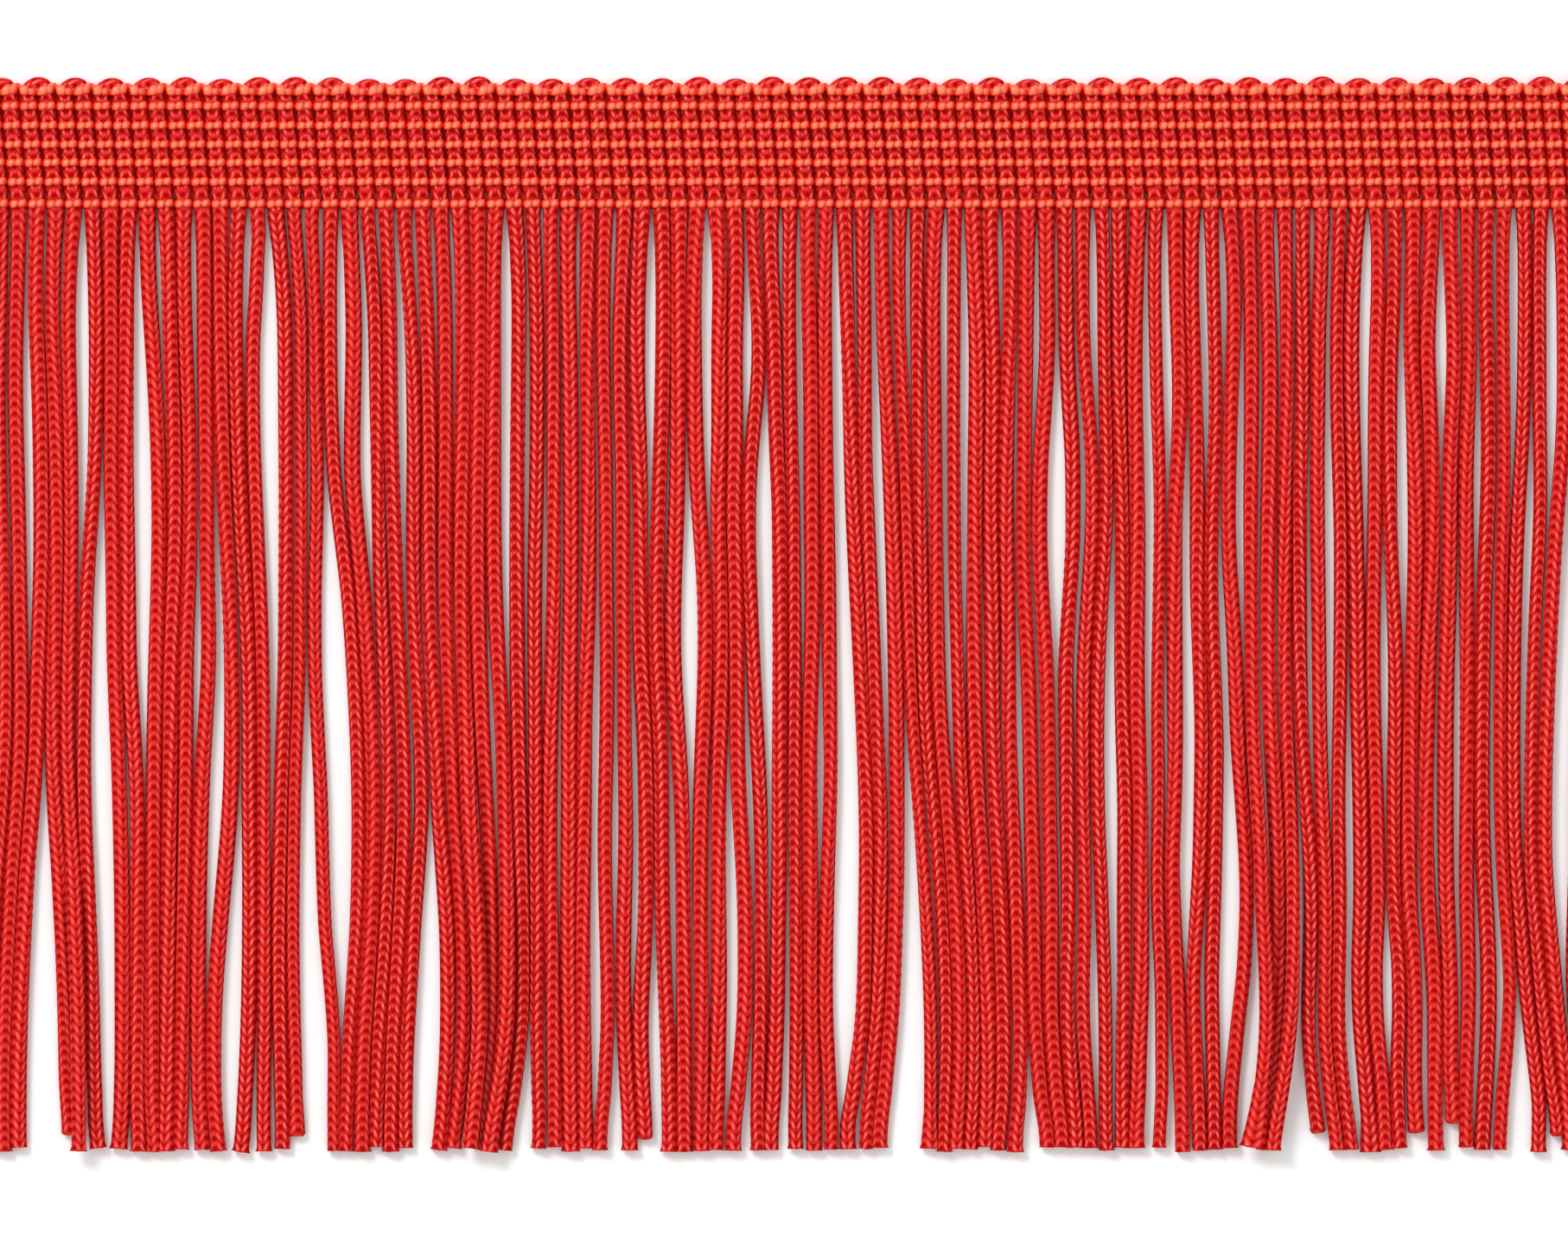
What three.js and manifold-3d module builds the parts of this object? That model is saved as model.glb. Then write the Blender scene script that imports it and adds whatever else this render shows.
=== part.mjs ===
// A cut length of chainette fringe that lies face up on a flat surface, in millimetres.
// X runs along the heading, +Y points at its scalloped edge and +Z is up.
// "down" is the distance from the scallop tops towards the strand tips.

import * as THREE from "three";
import { mergeVertices } from "three/addons/utils/BufferGeometryUtils.js";
import Module from "manifold-3d";

const wasm = await Module();
wasm.setup();

// The whole trimming: one knitted cord laid up and down, two strands to each turn at the top
const STRANDS = 100;
const PITCH = 1.735;
const LENGTH = STRANDS * PITCH;
const DEPTH = 101.6;

// The heading: cords side by side, which lean a little as they go down
const HEADING = 12.35;
const CORD_LEAN = 1.02;
const CREST = 1.1;
const VALLEY = 0.6;
const EDGE_HEIGHT = 0.8;
const EDGE_ROUND = 0.45;
const CLEARANCE = 0.3;

// The binding thread: how far down each row lies, and the thread's section
const ROWS_DOWN = [1.19, 2.62, 4.46, 6.26, 7.98, 9.78, 11.86];
const THREAD_WIDTH = 0.8;
const THREAD_FOOT = 0.5;
const THREAD_HEIGHT = 0.5;

// The root strip, parted from the heading between the last two rows
const STRIP_START = 10.97;
const STRIP_END = 12.6;
const BAND_END = STRIP_START - CLEARANCE;

// One scallop, along its pair of cords and down from its top
const SCALLOP = [
  { along: 0.0, down: 0.5 },
  { along: 0.13, down: 0.2 },
  { along: 0.34, down: 0.04 },
  { along: 0.58, down: 0.0 },
  { along: 0.85, down: 0.14 },
];

// A strand: flat where it lies, a little narrower on top
const STRAND_FOOT = 1.25;
const STRAND_TOP = 0.85;
const STRAND_HEIGHT = 1.15;
const STRAND_ROOT = 12.55;
const SEGMENTS = 8;
const SEGMENT = 11.6;

// How close two strands lie, and how high one lies on its neighbours
const NEAREST = 1.37;
const LIFT = 1.24;

// The main gaps: after which strand, where each opens, is widest and closes,
// how much wider than usual it gets, and how far its middle drifts sideways
const OPEN_END = 125;
const GAPS = [
  { after: 3, opens: 22, widest: 58, closes: 96, wider: 0.9, drift: 0.2 },
  { after: 8, opens: 50, widest: 102, closes: OPEN_END, wider: 3.1, drift: 0.2 },
  { after: 11, opens: 12, widest: 89, closes: OPEN_END, wider: 1.7, drift: -0.2 },
  { after: 13, opens: 13, widest: 55, closes: 104, wider: 0.9, drift: 0.3 },
  { after: 16, opens: 36, widest: 56, closes: 72, wider: 0.6, drift: 0.3 },
  { after: 18, opens: 64, widest: 92, closes: OPEN_END, wider: 1.4, drift: -0.1 },
  { after: 20, opens: 13, widest: 24, closes: 62, wider: 0.9, drift: 0.2 },
  { after: 22, opens: 24, widest: 101, closes: OPEN_END, wider: 1.6, drift: 1.1 },
  { after: 23, opens: 15, widest: 79, closes: 97, wider: 1.2, drift: 1.4 },
  { after: 25, opens: 12, widest: 25, closes: 59, wider: 0.6, drift: 0.5 },
  { after: 28, opens: 44, widest: 94, closes: 108, wider: 1.2, drift: 1.5 },
  { after: 34, opens: 88, widest: 102, closes: OPEN_END, wider: 1.5, drift: 0.0 },
  { after: 39, opens: 86, widest: 102, closes: OPEN_END, wider: 1.3, drift: 0.0 },
  { after: 46, opens: 14, widest: 27, closes: 42, wider: 0.6, drift: 0.1 },
  { after: 51, opens: 12, widest: 87, closes: 99, wider: 1.5, drift: 1.4 },
  { after: 54, opens: 56, widest: 102, closes: OPEN_END, wider: 3.1, drift: 1.7 },
  { after: 61, opens: 86, widest: 102, closes: OPEN_END, wider: 1.3, drift: 0.7 },
  { after: 63, opens: 26, widest: 37, closes: 59, wider: 0.9, drift: 0.1 },
  { after: 69, opens: 14, widest: 31, closes: 46, wider: 0.6, drift: 0.1 },
  { after: 70, opens: 42, widest: 77, closes: 87, wider: 0.9, drift: 0.6 },
  { after: 72, opens: 58, widest: 86, closes: 103, wider: 1.1, drift: 0.7 },
  { after: 76, opens: 91, widest: 102, closes: OPEN_END, wider: 2.0, drift: 0.6 },
  { after: 81, opens: 77, widest: 87, closes: 97, wider: 1.0, drift: 0.1 },
  { after: 84, opens: 13, widest: 23, closes: 50, wider: 0.8, drift: -0.2 },
  { after: 88, opens: 84, widest: 102, closes: OPEN_END, wider: 2.7, drift: 0.8 },
  { after: 91, opens: 28, widest: 72, closes: 87, wider: 0.9, drift: -0.6 },
  { after: 95, opens: 60, widest: 94, closes: OPEN_END, wider: 1.1, drift: 0.0 },
];

// Strands that climb onto their neighbours: after which segment, and how far they shift sideways
const RIDERS = [
  { strand: 10, climbs: 5, shift: -0.8 },
  { strand: 31, climbs: 4, shift: 0.9 },
  { strand: 33, climbs: 5, shift: -0.6 },
  { strand: 74, climbs: 4, shift: 0.8 },
  { strand: 76, climbs: 5, shift: -1.0 },
];

// Strands cut short of the others
const SHORT_CUTS = [
  { strand: 9, short: 1.6 },
  { strand: 22, short: 1.5 },
  { strand: 41, short: 1.2 },
  { strand: 77, short: 1.8 },
  { strand: 83, short: 1.8 },
  { strand: 85, short: 2.7 },
  { strand: 90, short: 1.5 },
];

// A small gap after every strand: where it may open, how long it grows and shuts,
// which share of them part at all, and how wide the widest gets
const SMALL_GAP = {
  opens: { least: HEADING, most: 62 },
  grows: { least: 22, most: 50 },
  shuts: { least: 25, most: 60 },
  share: 0.65,
  widest: 0.8,
};

// How far a gap's pull reaches, in strands, and the strands' own small wander
const MAIN_REACH = 5;
const SMALL_REACH = 3;
const DRIFT_REACH = 9;
const WANDER = 0.2;
const WANDER_WAVE = { least: 48, most: 95 };
const WANDER_SETTLES = 9;
const CUT_UNEVEN = 0.5;

// What each steady number from chance() is for, and how its strand and purpose are scattered
const CHANCES = { wave: 1, waveStart: 2, cut: 3, gapOpens: 5, gapGrows: 6, gapShuts: 7, gapSize: 8 };
const SCATTER = { strand: 12.9898, purpose: 78.233, spread: 43758.5453 };

const CORD_LOOK = { color: "#c9322c", roughness: 0.55, metalness: 0 };
const THREAD_LOOK = { color: "#e4552c", roughness: 0.4, metalness: 0 };

// A steady number from 0 to 1 for a strand and a purpose
function chance(strand, purpose) {
  const angle = strand * SCATTER.strand + CHANCES[purpose] * SCATTER.purpose;
  const spread = Math.sin(angle) * SCATTER.spread;
  return spread - Math.floor(spread);
}

function ease(value, start, end) {
  const part = Math.min(Math.max((value - start) / (end - start), 0), 1);
  return part * part * (3 - 2 * part);
}

function within(range, part) {
  return range.least + (range.most - range.least) * part;
}

function smallGap(after) {
  const opens = within(SMALL_GAP.opens, chance(after, "gapOpens"));
  const widest = opens + within(SMALL_GAP.grows, chance(after, "gapGrows"));
  const closes = widest + within(SMALL_GAP.shuts, chance(after, "gapShuts"));
  const size = Math.max(1 - (1 - chance(after, "gapSize")) / SMALL_GAP.share, 0);
  return { after, opens, widest, closes, wider: SMALL_GAP.widest * size };
}

const SMALL_GAPS = Array.from({ length: STRANDS - 1 }, (unused, after) => smallGap(after));

// How strongly a gap works on a strand at a distance down, from 0 to 1
function pullOf(gap, reach, strand, down) {
  const open = ease(down, gap.opens, gap.widest) * (1 - ease(down, gap.widest, gap.closes));
  const away = Math.abs(strand - gap.after - 0.5) - 0.5;
  return open * Math.max(1 - away / reach, 0);
}

// How far the given gaps push a strand away from their middles
function parting(gaps, reach, strand, down) {
  let push = 0;
  for (const gap of gaps) {
    const side = strand > gap.after ? 1 : -1;
    push += side * pullOf(gap, reach, strand, down) * gap.wider / 2;
  }
  return push;
}

// The mean drift of the main gaps near a strand
function drift(strand, down) {
  let sum = 0;
  let weight = 0;
  for (const gap of GAPS) {
    const pull = pullOf(gap, DRIFT_REACH, strand, down);
    sum += pull * gap.drift;
    weight += pull;
  }
  return sum / Math.max(weight, 1);
}

function wander(strand, down) {
  const wave = within(WANDER_WAVE, chance(strand, "wave"));
  const turn = 2 * Math.PI * (down / wave + chance(strand, "waveStart"));
  return WANDER * Math.sin(turn) * ease(down, HEADING, HEADING + WANDER_SETTLES);
}

function segmentDown(segment) {
  return STRAND_ROOT + segment * SEGMENT;
}

// A rider first climbs, then its neighbours close in below it
function climbed(strand, down) {
  const rider = RIDERS.find((row) => row.strand === strand);
  return rider ? ease(down, segmentDown(rider.climbs), segmentDown(rider.climbs + 1)) : 0;
}

function crossed(strand, down) {
  const rider = RIDERS.find((row) => row.strand === strand);
  return rider ? ease(down, segmentDown(rider.climbs + 1), segmentDown(rider.climbs + 3)) : 0;
}

function riderShift(strand, down) {
  const rider = RIDERS.find((row) => row.strand === strand);
  return rider ? rider.shift * crossed(strand, down) : 0;
}

function home(strand) {
  return (strand - (STRANDS - 1) / 2) * PITCH;
}

// The least distance from a strand to the next one, less where either lies on top
function leastStep(strand, down) {
  const onTop = Math.max(crossed(strand, down), crossed(strand + 1, down));
  return NEAREST * (1 - onTop / 2);
}

// Settles the wanted places into the nearest ones that keep the strands apart:
// strands that crowd each other are pooled into a run that shares its mean place
function keepApart(wanted, steps) {
  const runs = [];
  let offset = 0;
  wanted.forEach((place, strand) => {
    runs.push({ sum: place - offset, count: 1 });
    offset += steps[strand];
    while (runs.length > 1 && mean(runs.at(-2)) > mean(runs.at(-1))) {
      const last = runs.pop();
      runs.at(-1).sum += last.sum;
      runs.at(-1).count += last.count;
    }
  });
  return spreadRuns(runs, steps);
}

function mean(run) {
  return run.sum / run.count;
}

function spreadRuns(runs, steps) {
  const places = [];
  let offset = 0;
  for (const run of runs) {
    for (let member = 0; member < run.count; member += 1) {
      places.push(mean(run) + offset);
      offset += steps[places.length - 1];
    }
  }
  return places;
}

function wantedPlace(strand, down) {
  const gapPush = parting(GAPS, MAIN_REACH, strand, down) + parting(SMALL_GAPS, SMALL_REACH, strand, down);
  const ownPush = drift(strand, down) + wander(strand, down) + riderShift(strand, down);
  return home(strand) + CORD_LEAN / 2 + gapPush + ownPush;
}

// The places of all the strands across X at a distance down
function strandPlaces(down) {
  const strands = Array.from({ length: STRANDS }, (unused, strand) => strand);
  const wanted = strands.map((strand) => wantedPlace(strand, down));
  const steps = strands.map((strand) => leastStep(strand, down));
  return keepApart(wanted, steps);
}

function strandEnd(strand) {
  const cut = SHORT_CUTS.find((row) => row.strand === strand);
  return DEPTH - (cut ? cut.short : CUT_UNEVEN * chance(strand, "cut"));
}

// Geometry turned so that its extrusion runs down the trimming, with its profile's y as height
function extrudeDown(shape, steps) {
  const geometry = new THREE.ExtrudeGeometry(shape, { depth: steps, steps, bevelEnabled: false });
  return geometry.rotateX(Math.PI / 2);
}

// Moves every point: place(x, height, step) gives its new x, distance down and height
function reshape(geometry, place) {
  const points = geometry.attributes.position;
  for (let index = 0; index < points.count; index += 1) {
    const step = Math.round(-points.getY(index));
    const [x, down, height] = place(points.getX(index), points.getZ(index), step);
    points.setXYZ(index, x, DEPTH / 2 - down, height);
  }
  return geometry;
}

function toSolid(geometry) {
  geometry.deleteAttribute("normal");
  geometry.deleteAttribute("uv");
  const merged = mergeVertices(geometry);
  const vertProperties = new Float32Array(merged.attributes.position.array);
  const triVerts = new Uint32Array(merged.index.array);
  return new wasm.Manifold(new wasm.Mesh({ numProp: 3, vertProperties, triVerts }));
}

function toGeometry(solid) {
  const mesh = solid.getMesh();
  const geometry = new THREE.BufferGeometry();
  geometry.setAttribute("position", new THREE.BufferAttribute(mesh.vertProperties, 3));
  geometry.setIndex(new THREE.BufferAttribute(mesh.triVerts, 1));
  return geometry;
}

function namedMesh(name, geometry, look) {
  const mesh = new THREE.Mesh(geometry, new THREE.MeshStandardMaterial(look));
  mesh.name = name;
  return mesh;
}

function leanAt(down) {
  return CORD_LEAN * (Math.min(down / HEADING, 1) - 0.5);
}

// The heading's section along X: a crest over each cord and a valley between two cords
function ribbedProfile() {
  const profile = new THREE.Shape();
  profile.moveTo(-LENGTH / 2, 0);
  profile.lineTo(LENGTH / 2, 0);
  profile.lineTo(LENGTH / 2, VALLEY);
  for (let strand = STRANDS - 1; strand >= 0; strand -= 1) {
    profile.lineTo(home(strand), CREST);
    profile.lineTo(home(strand) - PITCH / 2, VALLEY);
  }
  return profile;
}

// The ribbed sheet of the heading and root strip, whose crests fall away at the scalloped edge
function ribbedSheet() {
  const stations = [
    { down: 0, crest: EDGE_HEIGHT },
    { down: EDGE_ROUND, crest: CREST },
    { down: STRIP_END, crest: CREST },
  ];
  const flat = extrudeDown(ribbedProfile(), stations.length - 1);
  return toSolid(reshape(flat, (x, height, step) => {
    const { down, crest } = stations[step];
    return [x + leanAt(down), down, height > VALLEY ? crest : height];
  }));
}

// The heading's outline seen from above, past its ends, with the scallops along the top
function scallopedOutline() {
  const outline = new THREE.Shape();
  const pair = 2 * PITCH;
  const past = LENGTH / 2 + pair;
  outline.moveTo(-past, DEPTH / 2 - BAND_END);
  outline.lineTo(past, DEPTH / 2 - BAND_END);
  for (let turn = STRANDS / 2; turn >= -1; turn -= 1) {
    const left = turn * pair - LENGTH / 2 - CORD_LEAN / 2;
    for (const point of SCALLOP.toReversed()) {
      outline.lineTo(left + point.along * pair, DEPTH / 2 - point.down);
    }
  }
  return outline;
}

function headingBand(sheet) {
  const cutter = new THREE.ExtrudeGeometry(scallopedOutline(), { depth: 3 * CREST, bevelEnabled: false });
  cutter.translate(0, 0, -CREST);
  return sheet.intersect(toSolid(cutter));
}

function rootStrip(sheet) {
  const depth = STRIP_END - STRIP_START;
  const cutter = new THREE.BoxGeometry(2 * LENGTH, depth, 4 * CREST);
  cutter.translate(0, DEPTH / 2 - STRIP_START - depth / 2, 0);
  return sheet.intersect(toSolid(cutter));
}

function strandProfile() {
  const profile = new THREE.Shape();
  profile.moveTo(-STRAND_FOOT / 2, 0);
  profile.lineTo(STRAND_FOOT / 2, 0);
  profile.lineTo(STRAND_TOP / 2, STRAND_HEIGHT);
  profile.lineTo(-STRAND_TOP / 2, STRAND_HEIGHT);
  return profile;
}

function strandStation(strand, step) {
  const down = step < SEGMENTS ? segmentDown(step) : strandEnd(strand);
  return { down, middle: strandPlaces(down)[strand], lift: LIFT * climbed(strand, down) };
}

// One strand, swept down through its places
function strandSolid(strand) {
  const flat = extrudeDown(strandProfile(), SEGMENTS);
  const stations = Array.from({ length: SEGMENTS + 1 }, (unused, step) => strandStation(strand, step));
  return toSolid(reshape(flat, (x, height, step) => {
    const { down, middle, lift } = stations[step];
    return [middle + x, down, height + lift];
  }));
}

function fringeSolid(sheet) {
  let fringe = rootStrip(sheet);
  for (let strand = 0; strand < STRANDS; strand += 1) {
    fringe = fringe.add(strandSolid(strand));
  }
  return fringe;
}

// One binding row: a six-sided thread laid straight across the cords, just above their crests
function bindingRow(down) {
  const foot = CREST + CLEARANCE;
  const profile = new THREE.Shape();
  profile.moveTo(-THREAD_FOOT / 2, foot);
  profile.lineTo(THREAD_FOOT / 2, foot);
  profile.lineTo(THREAD_WIDTH / 2, foot + THREAD_HEIGHT / 2);
  profile.lineTo(THREAD_FOOT / 2, foot + THREAD_HEIGHT);
  profile.lineTo(-THREAD_FOOT / 2, foot + THREAD_HEIGHT);
  profile.lineTo(-THREAD_WIDTH / 2, foot + THREAD_HEIGHT / 2);
  const geometry = new THREE.ExtrudeGeometry(profile, { depth: LENGTH, bevelEnabled: false });
  geometry.translate(0, 0, -LENGTH / 2).rotateX(Math.PI / 2).rotateZ(Math.PI / 2);
  return geometry.translate(leanAt(down), DEPTH / 2 - down, 0);
}

const trimming = new THREE.Group();
const sheet = ribbedSheet();
trimming.add(namedMesh("heading_band", toGeometry(headingBand(sheet)), CORD_LOOK));
trimming.add(namedMesh("fringe_strands", toGeometry(fringeSolid(sheet)), CORD_LOOK));
ROWS_DOWN.forEach((down, index) => {
  trimming.add(namedMesh(`binding_row_${index + 1}`, bindingRow(down), THREAD_LOOK));
});

export default trimming;
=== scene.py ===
import math
from collections import namedtuple

import bpy
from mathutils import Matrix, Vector


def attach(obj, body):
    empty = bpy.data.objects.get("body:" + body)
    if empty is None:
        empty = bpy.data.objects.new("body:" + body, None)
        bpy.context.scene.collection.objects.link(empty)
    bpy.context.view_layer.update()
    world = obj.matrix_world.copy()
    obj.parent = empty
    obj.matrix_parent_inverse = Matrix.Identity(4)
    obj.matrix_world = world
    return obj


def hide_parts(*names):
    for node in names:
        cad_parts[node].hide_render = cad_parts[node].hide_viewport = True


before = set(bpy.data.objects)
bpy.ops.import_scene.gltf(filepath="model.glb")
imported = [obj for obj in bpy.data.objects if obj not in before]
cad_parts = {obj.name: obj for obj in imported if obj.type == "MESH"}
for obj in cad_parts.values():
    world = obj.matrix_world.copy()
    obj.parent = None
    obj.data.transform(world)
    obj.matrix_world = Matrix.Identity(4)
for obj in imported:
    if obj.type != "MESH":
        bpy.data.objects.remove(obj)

bl_info = {
    "name": "Chainette Fringe",
    "version": (1, 0, 0),
    "blender": (4, 5, 0),
    "location": "3D View > Sidebar > Fringe",
    "description": "Knits the cords, the binding rows and the stage of a flat cut length of chainette fringe",
    "category": "Object",
}

# The part's own sizes, in millimetres. X runs along the heading, +Y points at its scalloped edge,
# and "down" is the distance from the scallop tops towards the strand tips.
STRANDS = 100
PITCH = 1.735
LENGTH = STRANDS * PITCH
DEPTH = 101.6
HEADING = 12.35
CORD_LEAN = 1.02
ROWS_DOWN = [1.19, 2.62, 4.46, 6.26, 7.98, 9.78, 11.86]
STRAND_ROOT = 12.55
SEGMENT = 11.6
NEAREST = 1.37
LIFT = 1.24
MAIN_REACH = 5
SMALL_REACH = 3
DRIFT_REACH = 9
WANDER = 0.2
WANDER_SETTLES = 9
CUT_UNEVEN = 0.5
OPEN_END = 125

Range = namedtuple("Range", "least most")
WANDER_WAVE = Range(48, 95)

# The main gaps: after which strand, where each opens, is widest and closes,
# how much wider than usual it gets, and how far its middle drifts sideways
Gap = namedtuple("Gap", "after opens widest closes wider drift")
GAPS = [
    Gap(3, 22, 58, 96, 0.9, 0.2),
    Gap(8, 50, 102, OPEN_END, 3.1, 0.2),
    Gap(11, 12, 89, OPEN_END, 1.7, -0.2),
    Gap(13, 13, 55, 104, 0.9, 0.3),
    Gap(16, 36, 56, 72, 0.6, 0.3),
    Gap(18, 64, 92, OPEN_END, 1.4, -0.1),
    Gap(20, 13, 24, 62, 0.9, 0.2),
    Gap(22, 24, 101, OPEN_END, 1.6, 1.1),
    Gap(23, 15, 79, 97, 1.2, 1.4),
    Gap(25, 12, 25, 59, 0.6, 0.5),
    Gap(28, 44, 94, 108, 1.2, 1.5),
    Gap(34, 88, 102, OPEN_END, 1.5, 0.0),
    Gap(39, 86, 102, OPEN_END, 1.3, 0.0),
    Gap(46, 14, 27, 42, 0.6, 0.1),
    Gap(51, 12, 87, 99, 1.5, 1.4),
    Gap(54, 56, 102, OPEN_END, 3.1, 1.7),
    Gap(61, 86, 102, OPEN_END, 1.3, 0.7),
    Gap(63, 26, 37, 59, 0.9, 0.1),
    Gap(69, 14, 31, 46, 0.6, 0.1),
    Gap(70, 42, 77, 87, 0.9, 0.6),
    Gap(72, 58, 86, 103, 1.1, 0.7),
    Gap(76, 91, 102, OPEN_END, 2.0, 0.6),
    Gap(81, 77, 87, 97, 1.0, 0.1),
    Gap(84, 13, 23, 50, 0.8, -0.2),
    Gap(88, 84, 102, OPEN_END, 2.7, 0.8),
    Gap(91, 28, 72, 87, 0.9, -0.6),
    Gap(95, 60, 94, OPEN_END, 1.1, 0.0),
]

# Small gaps after every strand: where one may open, how long it grows and shuts,
# which share of them part at all, and how wide the widest gets
SMALL_OPENS = Range(HEADING, 62)
SMALL_GROWS = Range(22, 50)
SMALL_SHUTS = Range(25, 60)
SMALL_SHARE = 0.65
SMALL_WIDEST = 0.8

# Strands that climb onto their neighbours: after which segment, and how far they shift sideways
Rider = namedtuple("Rider", "climbs shift")
RIDERS = {
    10: Rider(5, -0.8),
    31: Rider(4, 0.9),
    33: Rider(5, -0.6),
    74: Rider(4, 0.8),
    76: Rider(5, -1.0),
}

# How much shorter than the others some strands are cut
SHORT_CUTS = {9: 1.6, 22: 1.5, 41: 1.2, 77: 1.8, 83: 1.8, 85: 2.7, 90: 1.5}

# What each steady number from chance() is for, and what scatters them
CHANCES = {
    "wave": 1, "wave start": 2, "cut": 3, "gap opens": 5, "gap grows": 6, "gap shuts": 7, "gap size": 8,
    "roll": 9, "twist": 10, "width": 11, "tone": 12, "tip": 13, "knob roll": 14, "knob tone": 15,
    "bend": 16, "start": 17, "cling": 18, "cling start": 19,
}
SCATTER = (12.9898, 78.233, 43758.5453)

# Neighbouring strands cling into touching bunches, which part and form again further down.
# Each pair takes hold between the heights SWITCHES of its wave. REACH is how wide a slit may be to
# close, SQUEEZE is how flat touching cords press, and MOST is how far a strand can shift.
CLING_WAVE = Range(80, 200)
CLING_SETTLES = 7
CLING_SWITCHES = (-0.9, 0.1)
CLING_REACH = (0.45, 1.1)
CLING_MOST = 0.45
CLING_ROUNDS = 12
CLING_PULL = 0.25
CLING_SQUEEZE = 0.89

# The strands' widths as shares of the cord's, more of them wide than narrow
STRAND_WIDE = Range(0.85, 1.05)
WIDTHS_LEAN = 0.6

# The knitted cord: wales round it, and the sides and rings that shape one stitch
WALES = 3
SIDES_A_WALE = 4
Ring = namedtuple("Ring", "at groove leg bar")
STITCH_RINGS = [
    Ring(at=0.0, groove=0.89, leg=1.0, bar=0.96),
    Ring(at=0.5, groove=0.93, leg=0.98, bar=0.84),
]
GROOVE_DIPS = 0.2
BAR_RISES = 0.2

MM = 0.001
# Points closer than this are merged, and points closer than NEAR to a place along X belong to it
MERGE = 0.004 * MM
NEAR = 0.05 * MM


class FringeCordSizes(bpy.types.PropertyGroup):
    """Sizes of the knitted cord"""

    width: bpy.props.FloatProperty(
        name="Cord width", description="Width of one knitted cord as it lies",
        default=1.54 * MM, min=0.5 * MM, unit="LENGTH", precision=5,
    )
    thickness: bpy.props.FloatProperty(
        name="Cord thickness", description="Height of one knitted cord as it lies",
        default=1.24 * MM, min=0.5 * MM, unit="LENGTH", precision=5,
    )
    stitch: bpy.props.FloatProperty(
        name="Stitch length", description="Length of one stitch along the cord",
        default=0.93 * MM, min=0.3 * MM, unit="LENGTH", precision=5,
    )
    twist: bpy.props.FloatProperty(
        name="Twist", description="The most that a strand turns from root to tip",
        default=math.radians(200), subtype="ANGLE",
    )


class FringeBindingSizes(bpy.types.PropertyGroup):
    """Sizes of the binding thread"""

    tall: bpy.props.FloatProperty(
        name="Lobe height", description="How much of a cord one binding row covers",
        default=0.80 * MM, unit="LENGTH", precision=5,
    )
    thick: bpy.props.FloatProperty(
        name="Lobe thickness", description="Thickness of the binding thread over a cord",
        default=0.74 * MM, unit="LENGTH", precision=5,
    )
    height: bpy.props.FloatProperty(
        name="Thread height", description="Height of the thread's middle above the surface, over a cord",
        default=1.22 * MM, unit="LENGTH", precision=5,
    )


class FringeColours(bpy.types.PropertyGroup):
    """Colours of the fringe and its stage"""

    cord: bpy.props.FloatVectorProperty(
        name="Cord", description="Colour of the knitted cord where it stands proud",
        subtype="COLOR", size=3, default=(0.57, 0.016, 0.014), min=0, max=1,
    )
    # Painted shade: the dark red that fills the stitch holes, where shade falls; it is also the darker tone
    # that some strands and patches take
    cord_dark_tone_and_shade: bpy.props.FloatVectorProperty(
        name="Cord, deep", description="Colour of the knitted cord inside its stitches",
        subtype="COLOR", size=3, default=(0.34, 0.002, 0.0015), min=0, max=1,
    )
    # Painted highlight: the pale pink put on the crests of the stitches on top of the cord, where the satin's
    # sheen would be
    cord_painted_highlight: bpy.props.FloatVectorProperty(
        name="Cord, light", description="Colour on top of the stitches",
        subtype="COLOR", size=3, default=(0.95, 0.12, 0.10), min=0, max=1,
    )
    thread: bpy.props.FloatVectorProperty(
        name="Binding thread", description="Colour of the binding thread",
        subtype="COLOR", size=3, default=(0.86, 0.085, 0.030), min=0, max=1,
    )
    # Painted shade: darker red on the binding thread low down, in its dips and on the thread behind the cords
    thread_painted_shade: bpy.props.FloatVectorProperty(
        name="Binding thread, deep", description="Colour of the binding thread in its dips",
        subtype="COLOR", size=3, default=(0.85, 0.012, 0.010), min=0, max=1,
    )
    # Painted highlight: pale orange on top of the binding thread's lobes and on the thread in the scallops'
    # valleys
    thread_painted_highlight: bpy.props.FloatVectorProperty(
        name="Binding thread, light", description="Colour on top of the binding thread",
        subtype="COLOR", size=3, default=(1.0, 0.25, 0.12), min=0, max=1,
    )
    floor: bpy.props.FloatVectorProperty(
        name="Floor", description="Colour of the surface that the fringe lies on",
        subtype="COLOR", size=3, default=(0.84, 0.86, 0.86), min=0, max=1,
    )


class FringeStageSizes(bpy.types.PropertyGroup):
    """Sizes of the stage"""

    view_width: bpy.props.FloatProperty(
        name="Width in view", description="How much of the fringe's length the camera takes in",
        default=148.4 * MM, unit="LENGTH",
    )
    camera_height: bpy.props.FloatProperty(
        name="Camera height", description="Height of the camera above the fringe",
        default=1.2, unit="LENGTH",
    )
    floor_width: bpy.props.FloatProperty(
        name="Floor width", description="Width of the pale surface",
        default=6.0, unit="LENGTH",
    )


# How the strands lie

def chance(strand, purpose):
    """A steady number from 0 to 1 for a strand and a purpose."""
    by_strand, by_purpose, spread = SCATTER
    number = math.sin(strand * by_strand + CHANCES[purpose] * by_purpose) * spread
    return number - math.floor(number)


def ease(value, start, end):
    """0 before start and 1 after end, with a smooth step between."""
    part = min(max((value - start) / (end - start), 0), 1)
    return part * part * (3 - 2 * part)


def within(span, part):
    """The value a share of the way through a range."""
    return span.least + (span.most - span.least) * part


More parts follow.
